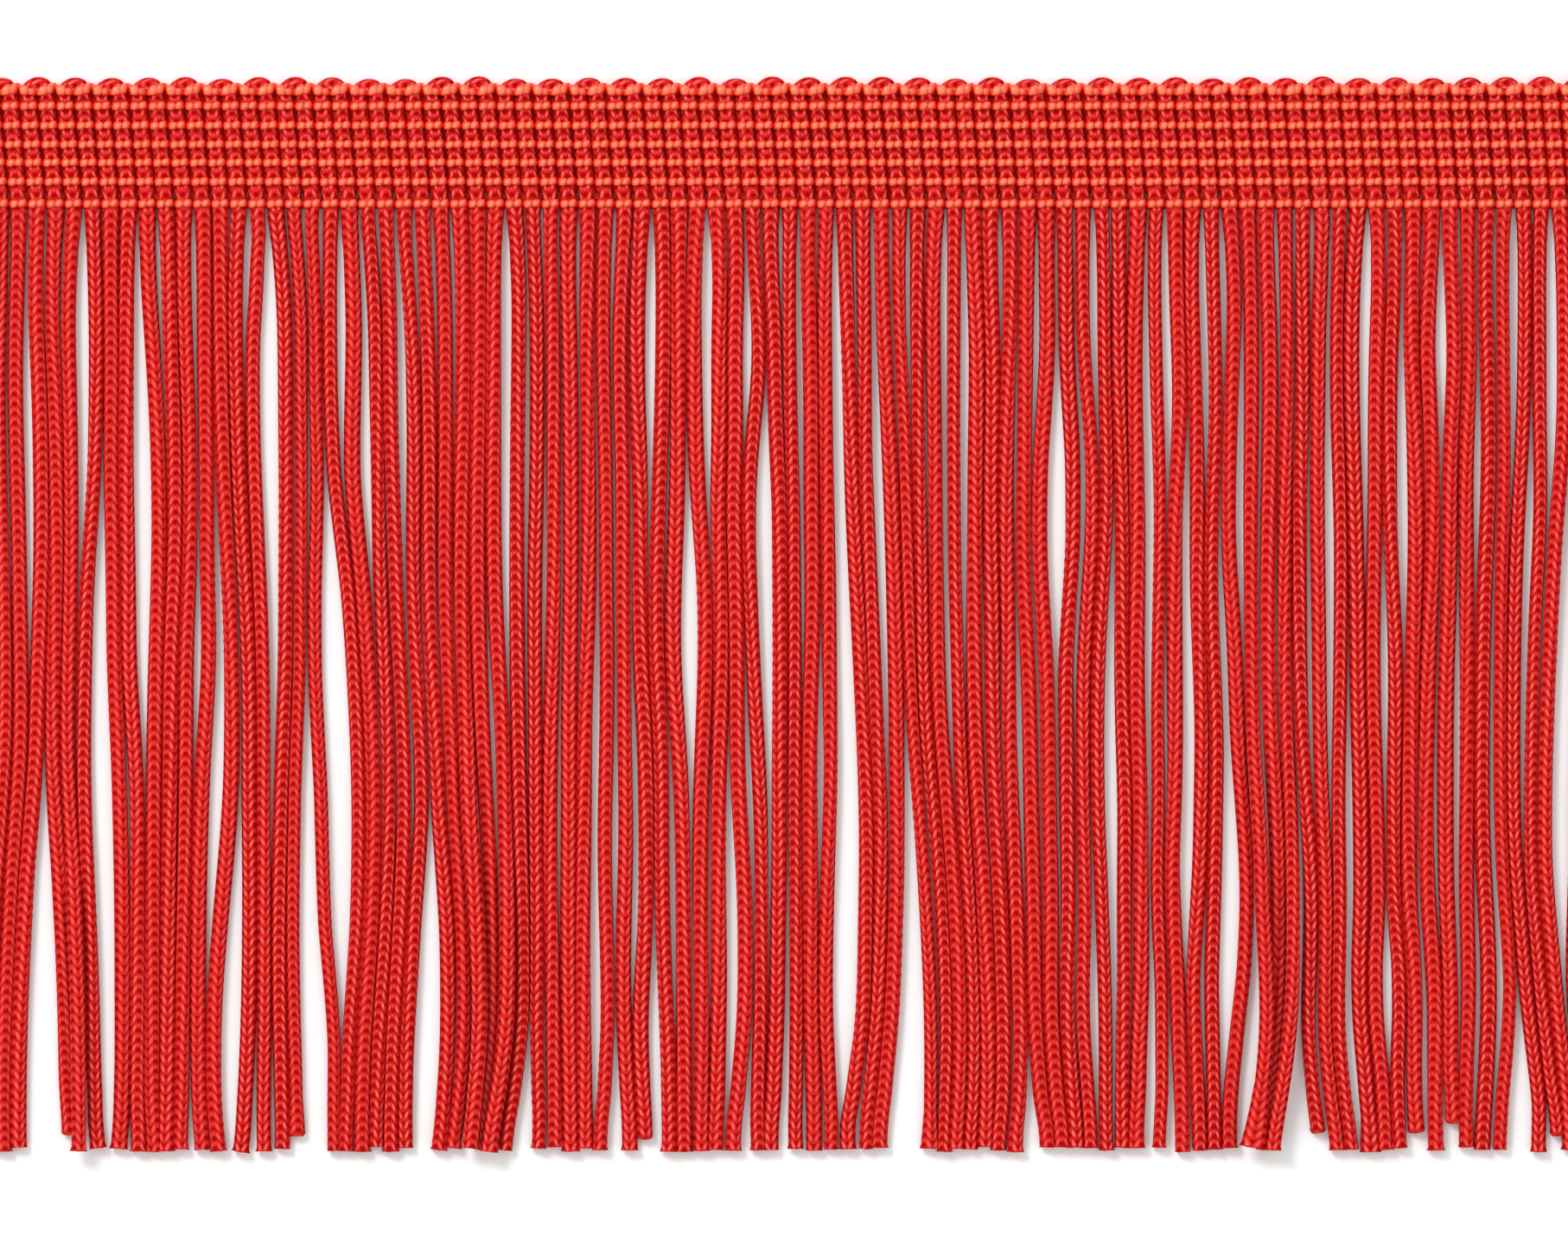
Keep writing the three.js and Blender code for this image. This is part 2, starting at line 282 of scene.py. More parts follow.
def small_gap(after):
    """The small gap that may open after a strand."""
    opens = within(SMALL_OPENS, chance(after, "gap opens"))
    widest = opens + within(SMALL_GROWS, chance(after, "gap grows"))
    closes = widest + within(SMALL_SHUTS, chance(after, "gap shuts"))
    size = max(1 - (1 - chance(after, "gap size")) / SMALL_SHARE, 0)
    return Gap(after, opens, widest, closes, SMALL_WIDEST * size, 0)


SMALL_GAPS = [small_gap(after) for after in range(STRANDS - 1)]


def pull_of(gap, reach, strand, down):
    """How strongly a gap works on a strand at a distance down, from 0 to 1."""
    away = abs(strand - gap.after - 0.5) - 0.5
    if away >= reach:
        return 0
    opened = ease(down, gap.opens, gap.widest) * (1 - ease(down, gap.widest, gap.closes))
    return opened * (1 - away / reach)


def parting(gaps, reach, strand, down):
    """How far the given gaps push a strand away from their middles."""
    push = 0
    for gap in gaps:
        side = 1 if strand > gap.after else -1
        push += side * pull_of(gap, reach, strand, down) * gap.wider / 2
    return push


def drift(strand, down):
    """The mean drift of the main gaps near a strand."""
    pulls = [pull_of(gap, DRIFT_REACH, strand, down) for gap in GAPS]
    total = sum(pull * gap.drift for pull, gap in zip(pulls, GAPS))
    return total / max(sum(pulls), 1)


def wander(strand, down):
    """A strand's own slow waver from side to side."""
    wave = within(WANDER_WAVE, chance(strand, "wave"))
    turn = math.tau * (down / wave + chance(strand, "wave start"))
    return WANDER * math.sin(turn) * ease(down, HEADING, HEADING + WANDER_SETTLES)


def segment_down(segment):
    """How far down a segment of the strands starts."""
    return STRAND_ROOT + segment * SEGMENT


def climbed(strand, down):
    """How far a rider has climbed onto its neighbours, from 0 to 1."""
    if strand not in RIDERS:
        return 0
    climbs = RIDERS[strand].climbs
    return ease(down, segment_down(climbs), segment_down(climbs + 1))


def crossed(strand, down):
    """How far a rider's neighbours have closed in below it, from 0 to 1."""
    if strand not in RIDERS:
        return 0
    climbs = RIDERS[strand].climbs
    return ease(down, segment_down(climbs + 1), segment_down(climbs + 3))


def rider_shift(strand, down):
    """How far a rider has shifted sideways on top of its neighbours."""
    return RIDERS[strand].shift * crossed(strand, down) if strand in RIDERS else 0


def home(strand):
    """A strand's own place across X, in the middle of the heading."""
    return (strand - (STRANDS - 1) / 2) * PITCH


def lean_at(down):
    """How far the heading's cords lean sideways at a distance down."""
    return CORD_LEAN * (min(down / HEADING, 1) - 0.5)


def least_step(strand, down):
    """The least distance from a strand to the next one, less where either lies on top."""
    on_top = max(crossed(strand, down), crossed(strand + 1, down))
    return NEAREST * (1 - on_top / 2)


def keep_apart(wanted, steps):
    """Settles the wanted places into the nearest ones that keep the strands apart."""
    runs = []
    offset = 0
    for strand, place in enumerate(wanted):
        runs.append([place - offset, 1])
        offset += steps[strand]
        while len(runs) > 1 and runs[-2][0] / runs[-2][1] > runs[-1][0] / runs[-1][1]:
            total, count = runs.pop()
            runs[-1][0] += total
            runs[-1][1] += count
    places = []
    offset = 0
    for total, count in runs:
        for member in range(count):
            places.append(total / count + offset)
            offset += steps[len(places) - 1]
    return places


def wanted_place(strand, down):
    """Where a strand would lie at a distance down if no other were in its way."""
    gap_push = parting(GAPS, MAIN_REACH, strand, down) + parting(SMALL_GAPS, SMALL_REACH, strand, down)
    own_push = drift(strand, down) + wander(strand, down) + rider_shift(strand, down)
    return home(strand) + CORD_LEAN / 2 + gap_push + own_push


def strand_places(down):
    """The places of all the strands across X at a distance down."""
    wanted = [wanted_place(strand, down) for strand in range(STRANDS)]
    steps = [least_step(strand, down) for strand in range(STRANDS)]
    return keep_apart(wanted, steps)


def strand_wide(strand):
    """A strand's width as a share of the cord's."""
    return within(STRAND_WIDE, chance(strand, "width") ** WIDTHS_LEAN)


def clinging(after, down):
    """How strongly a strand and the next one cling together at a distance down, from 0 to 1."""
    wave = within(CLING_WAVE, chance(after, "cling"))
    turn = math.tau * (down / wave + chance(after, "cling start"))
    return ease(math.sin(turn), *CLING_SWITCHES) * ease(down, HEADING, HEADING + CLING_SETTLES)


def touching_steps(width):
    """How far apart each strand and the next one lie when they touch and press together."""
    return [
        (strand_wide(after) + strand_wide(after + 1)) / 2 * width * CLING_SQUEEZE
        for after in range(STRANDS - 1)
    ]


def clung_places(down, width):
    """The places of all the strands, with clinging neighbours drawn together until they touch."""
    loose = strand_places(max(down, STRAND_ROOT))
    touching = touching_steps(width)
    slits = [loose[after + 1] - loose[after] - step for after, step in enumerate(touching)]
    grips = [clinging(after, down) * (1 - ease(slit, *CLING_REACH)) for after, slit in enumerate(slits)]
    row = list(loose)
    for closing in range(CLING_ROUNDS):
        for after, grip in enumerate(grips):
            pull = max(row[after + 1] - row[after] - touching[after], 0) * grip * CLING_PULL
            row[after] += pull
            row[after + 1] -= pull
    return [start + CLING_MOST * math.tanh((place - start) / CLING_MOST) for start, place in zip(loose, row)]


def smoothed(rows, reach):
    """The rows of places, each averaged with as many rows above it as below it."""
    result = []
    for level in range(len(rows)):
        near = min(level, len(rows) - 1 - level, reach)
        window = rows[level - near:level + near + 1]
        result.append([sum(places) / len(window) for places in zip(*window)])
    return result


def strand_end(strand):
    """How far down a strand is cut."""
    short = SHORT_CUTS.get(strand)
    return DEPTH - (CUT_UNEVEN * chance(strand, "cut") if short is None else short)


# Modelling by hand

def take(*pieces):
    """Selects these pieces alone, and makes the first one active."""
    bpy.ops.object.select_all(action="DESELECT")
    for piece in pieces:
        piece.select_set(True)
    bpy.context.view_layer.objects.active = pieces[0]


def mark(piece, chosen):
    """Selects the points of the active piece whose place passes the test, and goes into edit mode."""
    if bpy.context.mode == "EDIT_MESH":
        bpy.ops.object.mode_set(mode="OBJECT")
    mesh = piece.data
    for part in (mesh.polygons, mesh.edges):
        part.foreach_set("select", [False] * len(part))
    mesh.vertices.foreach_set("select", [chosen(point.co) for point in mesh.vertices])
    bpy.ops.object.mode_set(mode="EDIT")


def leave_edit():
    if bpy.context.mode == "EDIT_MESH":
        bpy.ops.object.mode_set(mode="OBJECT")


def finish_modifier(piece, modifier):
    take(piece)
    bpy.ops.object.modifier_apply(modifier=modifier.name)


def copy_of(piece, name):
    """A copy with its own mesh."""
    twin = piece.copy()
    twin.data = piece.data.copy()
    twin.name = name
    twin.data.name = name
    bpy.context.collection.objects.link(twin)
    return twin


def throw_away(*pieces):
    for piece in pieces:
        data = piece.data
        bpy.data.objects.remove(piece)
        if data.users == 0:
            (bpy.data.curves if isinstance(data, bpy.types.Curve) else bpy.data.meshes).remove(data)


def ring_along_x(name, sides, radius):
    """An open ring that stands across X, ready to be drawn out along it."""
    bpy.ops.object.select_all(action="DESELECT")
    bpy.ops.mesh.primitive_circle_add(
        vertices=sides, radius=radius, fill_type="NOTHING", rotation=(0, math.pi / 2, 0),
    )
    piece = bpy.context.active_object
    piece.name = name
    piece.data.name = name
    bpy.ops.object.transform_apply(location=False, rotation=True, scale=False)
    return piece


def draw_out(distance):
    """Extrudes what is selected along X."""
    bpy.ops.mesh.extrude_region_move(TRANSFORM_OT_translate={"value": (distance, 0, 0)})


def repeat_along(piece, count, step):
    """Repeats a piece along X and merges each copy's end with the next one's start."""
    copies = piece.modifiers.new("repeat", "ARRAY")
    copies.count = count
    copies.use_relative_offset = False
    copies.use_constant_offset = True
    copies.constant_offset_displace = (step, 0, 0)
    copies.use_merge_vertices = True
    copies.merge_threshold = MERGE
    finish_modifier(piece, copies)


def column_of(point):
    """Which column of the cord's stitches a point is in: 0 groove, 1 and 3 leg, 2 bar."""
    sides = WALES * SIDES_A_WALE
    side = round(math.atan2(point.y, point.z) / math.tau * sides)
    return side % SIDES_A_WALE


def stitch_course(name, radius, stitch):
    """One course of the knitted cord: grooves down the wales, legs beside them and bars between."""
    piece = ring_along_x(name, WALES * SIDES_A_WALE, radius)
    mark(piece, lambda point: True)
    marks = [ring.at * stitch for ring in STITCH_RINGS] + [stitch]
    for before, after in zip(marks, marks[1:]):
        draw_out(after - before)
    for ring, at in zip(STITCH_RINGS + STITCH_RINGS[:1], marks):
        for columns, size in (((0,), ring.groove), ((1, 3), ring.leg), ((2,), ring.bar)):
            mark(piece, lambda point: abs(point.x - at) < stitch / 8 and column_of(point) in columns)
            bpy.ops.transform.resize(value=(1, size, size), center_override=(at, 0, 0))
    for column, shift in ((0, GROOVE_DIPS), (2, -BAR_RISES)):
        mark(piece, lambda point: column_of(point) == column)
        bpy.ops.transform.translate(value=(shift * stitch, 0, 0))
    leave_edit()
    return piece


def wrap_map(piece, stitch):
    """The cord's own map: once round it across, and one stitch a step along."""
    mesh = piece.data
    layer = mesh.uv_layers.new(name="stitches") if not mesh.uv_layers else mesh.uv_layers[0]
    layer.name = "stitches"
    for face in mesh.polygons:
        middle = math.atan2(face.center.y, face.center.z) / math.tau
        for loop in face.loop_indices:
            point = mesh.vertices[mesh.loops[loop].vertex_index].co
            around = math.atan2(point.y, point.z) / math.tau
            around += round(middle - around)
            layer.data[loop].uv = (around, point.x / stitch)


def note(piece, name, value):
    """Writes one number on every point of a piece, for its finish to read."""
    layer = piece.data.attributes.get(name) or piece.data.attributes.new(name, "FLOAT", "POINT")
    layer.data.foreach_set("value", [value] * len(piece.data.vertices))


def lie_along(piece, points):
    """Bends a straight cord onto a line of points."""
    line = bpy.data.curves.new("lie", "CURVE")
    line.dimensions = "3D"
    line.twist_mode = "Z_UP"
    spline = line.splines.new("POLY")
    spline.points.add(len(points) - 1)
    for knot, point in zip(spline.points, points):
        knot.co = (*point, 1)
    guide = bpy.data.objects.new("lie", line)
    bpy.context.collection.objects.link(guide)
    bend = piece.modifiers.new("lie", "CURVE")
    bend.object = guide
    bend.deform_axis = "POS_X"
    finish_modifier(piece, bend)
    throw_away(guide)


def rest_on_floor(piece):
    """Flattens whatever dips below the surface that the fringe lies on."""
    mark(piece, lambda point: point.z < 0)
    bpy.ops.transform.resize(value=(1, 1, 0), center_override=(0, 0, 0))
    leave_edit()


def length_of(points):
    return sum((Vector(b) - Vector(a)).length for a, b in zip(points, points[1:]))


def joined(pieces, name):
    take(*pieces)
    bpy.ops.object.join()
    piece = bpy.context.active_object
    piece.name = name
    piece.data.name = name
    return piece


# The free strands

# Stitches in a strand, and how far down the strands' lines and their own first stitches start
STITCHES = 96
STRAND_START = 11.9
STRAND_STARTS = Range(11.45, 12.2)
STRANDS_A_PIECE = 25
TipRing = namedtuple("TipRing", "beyond wide")
TIPS = {
    "flared": [TipRing(0.10, 1.0), TipRing(0.30, 1.06), TipRing(0.50, 1.18)],
    "plain": [TipRing(0.10, 0.98), TipRing(0.25, 1.0), TipRing(0.40, 1.04)],
    "rounded": [TipRing(0.10, 1.0), TipRing(0.40, 1.05), TipRing(0.66, 0.94), TipRing(0.80, 0.70)],
}
# How much smaller the cut's inner ring is, and how ragged the cut is from this far past the last stitch
TIP_HOLLOW = 0.55
TIP_RAGGED = 0.07
CUT_RING = 0.2
# A cord's closed end is a little narrower, and its end rings reach this share of a stitch
CLOSED_WIDE = 0.9
RING_REACH = 0.1
# Just below the heading a strand is wider: within how many stitches, and by how much each time
ROOT_STITCHES = (1.5, 3.5)
ROOT_GROWS = 1.05
END_BEND = 0.35
END_BENDS_OVER = 6
CORD_STIFF = 5
# Strands whose cut end has opened and lies flat: how many stitches of it, and how wide it gets
Opened = namedtuple("Opened", "stitches wide")
OPENED_ENDS = {74: Opened(6, 1.6), 22: Opened(3, 1.25), 55: Opened(3, 1.3), 80: Opened(3, 1.25)}


def close_root(piece, sizes):
    """Flattens the first ring of a cord and closes it."""
    mark(piece, lambda point: point.x < (GROOVE_DIPS + RING_REACH) * sizes.stitch)
    bpy.ops.transform.resize(value=(0, CLOSED_WIDE, CLOSED_WIDE), center_override=(0, 0, 0))
    bpy.ops.mesh.edge_face_add()


def mark_last_ring(piece, sizes, end):
    """Selects the uneven ring of points at the open end of a cord."""
    mark(piece, lambda point: point.x > end - (BAR_RISES + RING_REACH) * sizes.stitch)


def straight_strand(name, sizes, tip):
    """A straight knitted strand along X with a closed root and the given kind of tip."""
    piece = stitch_course(name, sizes.width / 2, sizes.stitch)
    repeat_along(piece, STITCHES, sizes.stitch)
    for stitches in ROOT_STITCHES:
        mark(piece, lambda point: point.x < stitches * sizes.stitch)
        bpy.ops.transform.resize(value=(1, ROOT_GROWS, ROOT_GROWS), center_override=(0, 0, 0))
    close_root(piece, sizes)
    end = STITCHES * sizes.stitch
    mark_last_ring(piece, sizes, end)
    before = TipRing(0, 1)
    for ring in TIPS[tip]:
        at = end + ring.beyond * MM
        grown = ring.wide / before.wide
        draw_out((ring.beyond - before.beyond) * MM)
        flatten = 0 if before.beyond == 0 else 1
        bpy.ops.transform.resize(value=(flatten, grown, grown), center_override=(at, 0, 0))
        before = ring
    bpy.ops.mesh.extrude_region_move()
    bpy.ops.transform.resize(value=(1, TIP_HOLLOW, TIP_HOLLOW), center_override=(at, 0, 0))
    bpy.ops.mesh.edge_face_add()
    leave_edit()
    wrap_map(piece, sizes.stitch)
    return piece


def strand_line(strand, levels, places, rest, width):
    """The line that a strand follows, from its root to its tip, in metres."""
    end = strand_end(strand)
    bend = (2 * chance(strand, "bend") - 1) ** 3 * END_BEND
    start = within(STRAND_STARTS, chance(strand, "start"))
    points = [lie_point(places[0][strand], start, rest)]
    for down, row in zip(levels[1:], places[1:]):
        if down >= end:
            break
        across = row[strand] + bend * ease(down, end - END_BENDS_OVER, end)
        points.append(lie_point(across, down, rest + LIFT * climbed(strand, down)))
    last = clung_places(end, width)[strand] + bend
    points.append(lie_point(last, end, rest + LIFT * climbed(strand, end)))
    return points


def lie_point(across, down, height):
    """A place on the fringe as a point of the scene, in metres."""
    return (across * MM, (DEPTH / 2 - down) * MM, height * MM)


def tip_kind(strand):
    """A strand cut short is rounded, and about a third of the others are plain."""
    if strand in SHORT_CUTS:
        return "rounded"
    return "plain" if 1 <= chance(strand, "tip") * 3 < 2 else "flared"


def open_end(piece, strand, sizes):
    """Spreads the last stitches of a strand, and roughens its cut."""
    end = STITCHES * sizes.stitch
    if strand in OPENED_ENDS:
        opened = OPENED_ENDS[strand]
        grown = opened.wide ** (1 / opened.stitches)
        for stitch in range(opened.stitches):
            start = end - (opened.stitches - stitch) * sizes.stitch
            mark(piece, lambda point: point.x > start)
            bpy.ops.transform.resize(value=(1, grown, 1), center_override=(end, 0, 0))
    mark(piece, lambda point: point.x > end + CUT_RING * MM)
    bpy.ops.transform.vertex_random(offset=TIP_RAGGED * MM, seed=strand + 1)
    leave_edit()


def laid_strand(strand, pattern, line, sizes):
    """A copy of a straight strand, rolled, twisted, flattened a little and laid along its line."""
    piece = copy_of(pattern, f"strand_{strand + 1}")
    take(piece)
    piece.rotation_euler.x = math.tau * chance(strand, "roll")
    bpy.ops.object.transform_apply(location=False, rotation=True, scale=False)
    twist = piece.modifiers.new("twist", "SIMPLE_DEFORM")
    twist.deform_method = "TWIST"
    twist.deform_axis = "X"
    twist.angle = sizes.twist * (2 * chance(strand, "twist") - 1)
    finish_modifier(piece, twist)
    open_end(piece, strand, sizes)
    length = max(point.co.x for point in piece.data.vertices)
    piece.scale = (length_of(line) / length, strand_wide(strand), sizes.thickness / sizes.width)
    bpy.ops.object.transform_apply(location=False, rotation=False, scale=True)
    lie_along(piece, line)
    rest_on_floor(piece)
    note(piece, "cord_tone", chance(strand, "tone"))
    return piece


class FRINGE_OT_free_strands(bpy.types.Operator):
    """Knits one strand and lays its copies side by side below the heading"""

    bl_idname = "fringe.free_strands"
    bl_label = "Free Strands"

    def execute(self, context):
        sizes = context.scene.fringe_cord
        patterns = {tip: straight_strand(f"pattern_{tip}", sizes, tip) for tip in TIPS}
        levels = [STRAND_START + step for step in range(int(DEPTH - STRAND_START) + 1)]
        width = sizes.width / MM
        places = smoothed([clung_places(down, width) for down in levels], CORD_STIFF)
        rest = sizes.thickness / 2 / MM
        group = []
        finish = cord_finish(context.scene.fringe_colours)
        for strand in range(STRANDS):
            line = strand_line(strand, levels, places, rest, width)
            group.append(laid_strand(strand, patterns[tip_kind(strand)], line, sizes))
            if len(group) == STRANDS_A_PIECE:
                first = strand + 2 - STRANDS_A_PIECE
                piece = joined(group, f"strands_{first}_to_{strand + 1}")
                dress(piece, finish, "fringe_strands")
                group = []
        throw_away(*patterns.values())
        return {"FINISHED"}


def dress(piece, finish, node):
    """Gives a finished piece its material and its body, and hides the solid that it stands for."""
    take(piece)
    bpy.ops.object.shade_smooth()
    piece.data.materials.clear()
    piece.data.materials.append(finish)
    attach(piece, "root")
    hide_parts(node)


# The heading

# A turn runs up one cord, over the top and down the next. A row pinches the cord within two reaches.
TURN_RADIUS = PITCH / 2
TURN_TOP = 0.68
TURN_UNEVEN = 0.14
TURN_STITCHES = 4
STITCHES_A_ROW = 2
HEADING_WIDE = 1.08
TURN_WIDE = 1.04
TURN_SMOOTH = 0.8
# In stitches: how early the cord narrows for its turn, and how far into the turn it widens again
TURN_EARLY = 0.3
TURN_WIDENS = 0.6
HOLE_AT = 0.5 - BAR_RISES
PINCH_WIDE = 0.97
PINCH_THICK = 0.90
PINCH_REACHES = (0.28, 0.52)
APEX_SHIFT = 0.28
KNOB_ROLL = math.radians(30)
SIDE_STEPS = 10
TURN_STEPS = 24


def straight_hairpin(name, sizes):
    """A straight cord long enough for one turn: up one cord, over the top and down the next."""
    piece = stitch_course(name, sizes.width / 2, sizes.stitch)
    side = (len(ROWS_DOWN) - 1) * STITCHES_A_ROW
    count = 2 * side + TURN_STITCHES
    repeat_along(piece, count, sizes.stitch)
    end = count * sizes.stitch
    close_root(piece, sizes)
    mark_last_ring(piece, sizes, end)
    bpy.ops.transform.resize(value=(0, CLOSED_WIDE, CLOSED_WIDE), center_override=(end, 0, 0))
    bpy.ops.mesh.edge_face_add()
    leave_edit()
    wrap_map(piece, sizes.stitch)
    take(piece)
    # A hole between two bars faces up in the middle of every knob
    piece.rotation_euler.x = -math.tau / WALES / 2
    piece.location.x = -HOLE_AT * sizes.stitch
    bpy.ops.object.transform_apply(location=True, rotation=True, scale=False)
    turn_start = (side - TURN_EARLY) * sizes.stitch
    mark(piece, lambda point: abs(point.x - end / 2) > end / 2 - turn_start)
    bpy.ops.transform.resize(value=(1, HEADING_WIDE, 1), center_override=(0, 0, 0))
    pinch_at_rows(piece, sizes, end)
    shape_turn(piece, sizes, end)
    leave_edit()
    fit_rows(piece, sizes.stitch)
    return piece


def pinch_at_rows(piece, sizes, end):
    """Pinches the cord where the rows hold it, from the root up one side and down the other."""
    for side_start, direction in ((0, 1), (end, -1)):
        for row in range(len(ROWS_DOWN)):
            at = side_start + direction * row * STITCHES_A_ROW * sizes.stitch
            for reach in PINCH_REACHES:
                mark(piece, lambda point: abs(point.x - at) < reach * sizes.stitch)
                bpy.ops.transform.resize(value=(1, PINCH_WIDE, PINCH_THICK), center_override=(at, 0, 0))


def shape_turn(piece, sizes, end):
    """Rounds the part of the cord that turns back over the top, and widens its middle."""
    turn_half = TURN_STITCHES / 2 * sizes.stitch
    mark(piece, lambda point: abs(point.x - end / 2) < turn_half)
    bpy.ops.mesh.subdivide(number_cuts=1, smoothness=TURN_SMOOTH)
    mark(piece, lambda point: abs(point.x - end / 2) < turn_half - TURN_WIDENS * sizes.stitch)
    bpy.ops.transform.resize(value=(1, TURN_WIDE, TURN_WIDE), center_override=(end / 2, 0, 0))


def fit_rows(piece, stitch):
    """Stretches the stitches between rows to the rows' own spacing, working inwards from both ends."""
    spacing = [after - before for before, after in zip(ROWS_DOWN, ROWS_DOWN[1:])]
    spacing.reverse()
    turn_long = (math.pi * TURN_RADIUS + 2 * (TURN_TOP + TURN_RADIUS - ROWS_DOWN[0])) * MM
    spans = [gap * MM for gap in spacing] + [turn_long] + [gap * MM for gap in reversed(spacing)]
    stitches = [STITCHES_A_ROW] * len(spacing) + [TURN_STITCHES] + [STITCHES_A_ROW] * len(spacing)
    at = 0
    stretched = 1
    take(piece)
    for span, count in zip(spans, stitches):
        wanted = span / (count * stitch)
        mark(piece, lambda point: point.x > at - 0.01 * MM)
        bpy.ops.transform.resize(value=(wanted / stretched, 1, 1), center_override=(at, 0, 0))
        stretched = wanted
        at += span
    leave_edit()


def hairpin_line(turn, rest):
    """Up the left cord of a turn, over the top, and down the right cord, in metres."""
    left, right = home(2 * turn), home(2 * turn + 1)
    middle = (left + right) / 2
    top = TURN_TOP + TURN_UNEVEN * (2 * chance(turn, "bend") - 1)
    centre = TURN_TOP + TURN_RADIUS
    root = ROWS_DOWN[-1]
    points = []
    for step in range(SIDE_STEPS):
        down = root + (centre - root) * step / SIDE_STEPS
        points.append((left, down))
    for step in range(TURN_STEPS + 1):
        angle = math.pi * step / TURN_STEPS
        across = middle - TURN_RADIUS * math.cos(angle) + APEX_SHIFT * math.sin(angle) ** 2
        points.append((across, centre - (centre - top) * math.sin(angle)))
    for step in range(1, SIDE_STEPS + 1):
        down = centre + (root - centre) * step / SIDE_STEPS
        points.append((right, down))
    return [lie_point(across + lean_at(down), down, rest) for across, down in points]


class FRINGE_OT_heading_cords(bpy.types.Operator):
    """Knits one turn of cord and lays its copies side by side as the heading with its scallops"""

    bl_idname = "fringe.heading_cords"
    bl_label = "Heading Cords"

    def execute(self, context):
        sizes = context.scene.fringe_cord
        pattern = straight_hairpin("pattern_hairpin", sizes)
        rest = sizes.thickness / 2 / MM
        group = []
        for turn in range(STRANDS // 2):
            piece = copy_of(pattern, f"turn_{turn + 1}")
            take(piece)
            piece.rotation_euler.x = KNOB_ROLL * (chance(turn, "knob roll") - 0.5)
            bpy.ops.object.transform_apply(location=False, rotation=True, scale=False)
            line = hairpin_line(turn, rest)
            length = max(point.co.x for point in piece.data.vertices)
            piece.scale = (length_of(line) / length, 1, sizes.thickness / sizes.width)
            bpy.ops.object.transform_apply(location=False, rotation=False, scale=True)
            lie_along(piece, line)
            note(piece, "cord_tone", chance(turn, "knob tone"))
            group.append(piece)
        piece = joined(group, "heading_cords")
        dress(piece, cord_finish(context.scene.fringe_colours), "heading_band")
        throw_away(pattern)
        return {"FINISHED"}


# The binding rows

Station = namedtuple("Station", "at tall thick rise up")
LOBES = [
    Station(-0.8675, 0.46, 0.50, -0.60, 0.0),
    Station(-0.79, 0.80, 0.75, -0.32, -0.02),
    Station(-0.66, 1.00, 0.95, -0.10, -0.03),
    Station(-0.36, 1.00, 1.00, 0.0, -0.03),
    Station(-0.12, 0.92, 0.85, -0.05, -0.02),
    Station(-0.02, 0.72, 0.52, -0.17, 0.0),
    Station(0.08, 0.88, 0.85, -0.06, 0.03),
    Station(0.34, 0.98, 1.00, 0.0, 0.05),
    Station(0.62, 0.98, 0.90, -0.12, 0.07),
    Station(0.76, 0.80, 0.75, -0.34, 0.06),
    Station(0.8675, 0.46, 0.50, -0.60, 0.0),
]
# The first row, over the two cords of a turn: its last lobe rises into the valley between two scallops
FIRST_ROW = [
    Station(-1.735, 0.60, 0.60, -0.34, 0.52),
    Station(-1.64, 0.95, 0.75, -0.24, 0.34),
    Station(-1.54, 1.20, 0.90, -0.10, 0.16),
    Station(-1.40, 1.28, 1.00, -0.02, 0.08),
    Station(-1.10, 1.30, 1.00, 0.0, 0.04),
    Station(-0.84, 1.12, 0.85, -0.05, 0.0),
    Station(-0.72, 0.85, 0.60, -0.14, -0.03),
    Station(-0.60, 0.95, 0.85, -0.06, -0.06),
    Station(-0.34, 0.95, 0.90, -0.08, -0.06),
    Station(-0.10, 0.75, 0.65, -0.26, -0.10),
    Station(0.02, 0.55, 0.50, -0.40, -0.14),
    Station(0.12, 0.85, 0.75, -0.20, -0.10),
    Station(0.36, 1.20, 1.00, 0.0, 0.0),
    Station(0.76, 1.30, 1.00, 0.0, 0.08),
    Station(0.98, 1.15, 0.72, -0.10, 0.10),
    Station(1.10, 1.25, 0.88, -0.05, 0.14),
    Station(1.26, 1.38, 0.95, -0.04, 0.20),
    Station(1.50, 1.30, 0.88, -0.12, 0.24),
    Station(1.63, 1.00, 0.72, -0.24, 0.36),
    Station(1.735, 0.60, 0.60, -0.34, 0.52),
]
# The same thread behind one cord, flat against the surface that the fringe lies on
BACK_LOBES = [
    Station(-0.8675, 1.00, 0.40, 0.0, 0.0),
    Station(-0.45, 1.06, 0.50, 0.0, 0.0),
    Station(0.0, 0.92, 0.34, 0.0, 0.0),
    Station(0.45, 1.06, 0.50, 0.0, 0.0),
    Station(0.8675, 1.00, 0.40, 0.0, 0.0),
]
# How much of the heading each row's thread covers behind the cords
BACK_COVERS = [0.9, 2.0, 1.9, 1.9, 1.9, 2.0, 0.9]
BACK_HEIGHT = 0.20
BACK_LONG = 0.996
LOBE_SIDES = 8
LOBE_SLANT = 0.05
SLANT_FROM = 0.2
THREAD_UNEVEN = 0.035


